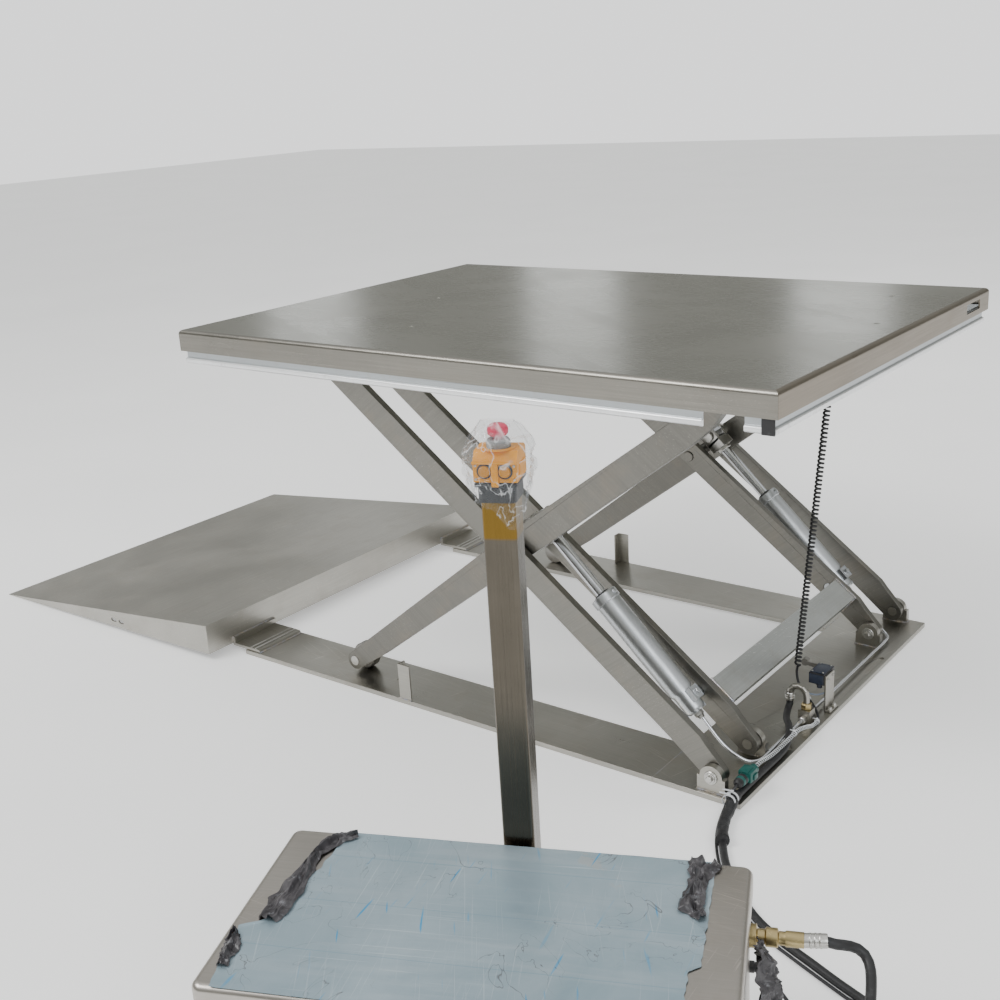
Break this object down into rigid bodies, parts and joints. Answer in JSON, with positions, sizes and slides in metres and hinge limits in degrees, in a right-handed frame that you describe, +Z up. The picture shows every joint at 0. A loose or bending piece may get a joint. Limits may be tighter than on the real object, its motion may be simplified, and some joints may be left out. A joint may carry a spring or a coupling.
{
  "type": "scissor lift table",
  "caption": "Low stainless scissor lift table shown raised, with loading ramp, trip frame, hydraulic cylinders, hose-fed power unit and control post.",
  "frame": {"origin": "on the floor below the middle of the bounding box, cords left out", "axes": "+X from the ramp towards the fixed-pivot end of the table, +Y from the power unit's side to the far side, +Z up"},
  "size_m": [3.0883, 2.288, 0.9648],
  "materials": {
    "stainless": "ground and brushed stainless sheet, plate and turned parts",
    "deck_stainless": "cold-rolled stainless sheet, faintly reflective",
    "trip_aluminium": "satin extruded bar",
    "rod_chrome": "polished hard chrome",
    "roller_steel": "turned steel",
    "black_plastic": "matt black",
    "black_rubber": "matt black rubber and cable sheath",
    "teal_plastic": "satin teal",
    "brass_fitting": "turned brass",
    "yellow_plastic": "satin yellow",
    "grey_plastic": "satin grey",
    "red_plastic": "satin red"
  },
  "bodies": {
    "base": {"base_side_plate_near": "stainless", "base_side_plate_far": "stainless", "base_end_plate": "stainless", "deck_stop_near": "stainless", "deck_stop_far": "stainless", "ramp_bracket_near": "stainless", "ramp_bracket_far": "stainless", "base_lug_near_outer": "stainless", "base_lug_far_outer": "stainless", "base_lug_near_inner": "stainless", "base_lug_far_inner": "stainless", "ramp": "stainless", "tee_fitting": "stainless", "port_line": "stainless", "supply_hose": "black_rubber", "switch_bracket": "stainless", "switch_body": "black_plastic", "switch_cable": "black_rubber", "curly_cable": "black_rubber", "cable_connector": "teal_plastic", "power_unit_case": "stainless", "power_unit_lid": "stainless", "hose_fitting": "brass_fitting", "post": "stainless", "station_foot": "black_plastic", "station_housing": "yellow_plastic", "estop_collar": "grey_plastic"},
    "cylinder_arm": {"arm_plate_outer_near": "stainless", "arm_plate_inner_near": "stainless", "arm_plate_inner_far": "stainless", "arm_plate_outer_far": "stainless", "arm_cross_tube": "stainless", "centre_pin_near": "stainless", "centre_pin_far": "stainless"},
    "crossing_arm": {"crossing_arm_near": "stainless", "crossing_arm_far": "stainless"},
    "platform": {"deck": "deck_stainless", "fascia_front": "deck_stainless", "fascia_right": "deck_stainless", "fascia_back": "deck_stainless", "fascia_left": "deck_stainless", "platform_lug_near": "stainless", "platform_lug_far": "stainless"},
    "trip_frame": {"trip_bar_front": "trip_aluminium", "trip_bar_right": "trip_aluminium", "trip_bar_back": "trip_aluminium", "trip_bar_left": "trip_aluminium", "trip_corner_cap": "black_plastic"},
    "upper_roller_near": {"upper_roller_near": "roller_steel"},
    "upper_roller_far": {"upper_roller_far": "roller_steel"},
    "lower_roller_near": {"lower_roller_near": "roller_steel"},
    "lower_roller_far": {"lower_roller_far": "roller_steel"},
    "barrel_near": {"barrel_near": "stainless"},
    "barrel_far": {"barrel_far": "stainless"},
    "rod_near": {"rod_near": "rod_chrome"},
    "rod_far": {"rod_far": "rod_chrome"},
    "switch_lever": {"switch_lever": "roller_steel"},
    "up_button": {"up_button": "grey_plastic"},
    "down_button": {"down_button": "grey_plastic"},
    "estop_button": {"estop_button": "red_plastic"}
  },
  "joints": [
    {"name": "lift", "type": "hinge", "parent": "base", "child": "cylinder_arm", "pos_m": [0.92731, 0.57402, 0.046], "axis": [0, 1, 0], "range_deg": [-36.4, 0], "deforming": ["curly_cable", "port_line", "switch_cable"]},
    {"name": "centre_pivot", "type": "hinge", "parent": "cylinder_arm", "child": "crossing_arm", "pos_m": [0.41076, 0.57402, 0.4395], "axis": [0, 1, 0], "range_deg": [-0.1, 73]},
    {"name": "platform_pivot", "type": "hinge", "parent": "crossing_arm", "child": "platform", "pos_m": [0.92731, 0.57402, 0.833], "axis": [0, 1, 0], "range_deg": [-36.5, 0.1]},
    {"name": "trip_slide", "type": "slide", "parent": "platform", "child": "trip_frame", "axis": [0, 0, 1], "range_m": [0, 0.008]},
    {"name": "barrel_near_pivot", "type": "hinge", "parent": "cylinder_arm", "child": "barrel_near", "pos_m": [0.81183, 0.18002, 0.14088], "axis": [0, 1, 0], "range_deg": [-5.2, 0.1]},
    {"name": "rod_near_slide", "type": "slide", "parent": "barrel_near", "child": "rod_near", "axis": [-0.7224, 0, 0.6915], "range_m": [-0.064, 0.0005]},
    {"name": "barrel_far_pivot", "type": "hinge", "parent": "cylinder_arm", "child": "barrel_far", "pos_m": [0.81183, 0.96802, 0.14088], "axis": [0, 1, 0], "range_deg": [-5.2, 0.1]},
    {"name": "rod_far_slide", "type": "slide", "parent": "barrel_far", "child": "rod_far", "axis": [-0.7224, 0, 0.6915], "range_m": [-0.064, 0.0005]},
    {"name": "upper_roller_near_spin", "type": "hinge", "parent": "cylinder_arm", "child": "upper_roller_near", "pos_m": [-0.10578, 0.19902, 0.833], "axis": [0, 1, 0], "continuous": true},
    {"name": "upper_roller_far_spin", "type": "hinge", "parent": "cylinder_arm", "child": "upper_roller_far", "pos_m": [-0.10578, 0.94902, 0.833], "axis": [0, 1, 0], "continuous": true},
    {"name": "lower_roller_near_spin", "type": "hinge", "parent": "crossing_arm", "child": "lower_roller_near", "pos_m": [-0.10578, 0.15002, 0.046], "axis": [0, 1, 0], "continuous": true},
    {"name": "lower_roller_far_spin", "type": "hinge", "parent": "crossing_arm", "child": "lower_roller_far", "pos_m": [-0.10578, 0.99802, 0.046], "axis": [0, 1, 0], "continuous": true},
    {"name": "switch_lever_pivot", "type": "hinge", "parent": "base", "child": "switch_lever", "pos_m": [0.95331, 0.56252, 0.091], "axis": [0, 1, 0], "range_deg": [-10, 0], "stiffness_Nm_per_rad": 0.4, "springref_deg": 1.15},
    {"name": "up_press", "type": "slide", "parent": "base", "child": "up_button", "axis": [-0.4059, 0.9139, 0], "range_m": [0, 0.0035], "stiffness_N_per_m": 400, "springref_m": -0.002},
    {"name": "down_press", "type": "slide", "parent": "base", "child": "down_button", "axis": [-0.4059, 0.9139, 0], "range_m": [0, 0.0035], "stiffness_N_per_m": 400, "springref_m": -0.002},
    {"name": "estop_press", "type": "slide", "parent": "base", "child": "estop_button", "axis": [0, 0, -1], "range_m": [0, 0.004], "stiffness_N_per_m": 900, "springref_m": -0.003}
  ],
  "couplings": [
    {"joint": "centre_pivot", "follows": "lift", "ratio": -2},
    {"joint": "platform_pivot", "follows": "lift", "ratio": 1},
    {"joint": "barrel_near_pivot", "follows": "lift", "ratio": 0.1313},
    {"joint": "rod_near_slide", "follows": "lift", "m_per_rad": 0.09794},
    {"joint": "barrel_far_pivot", "follows": "lift", "ratio": 0.1313},
    {"joint": "rod_far_slide", "follows": "lift", "m_per_rad": 0.09794}
  ]
}
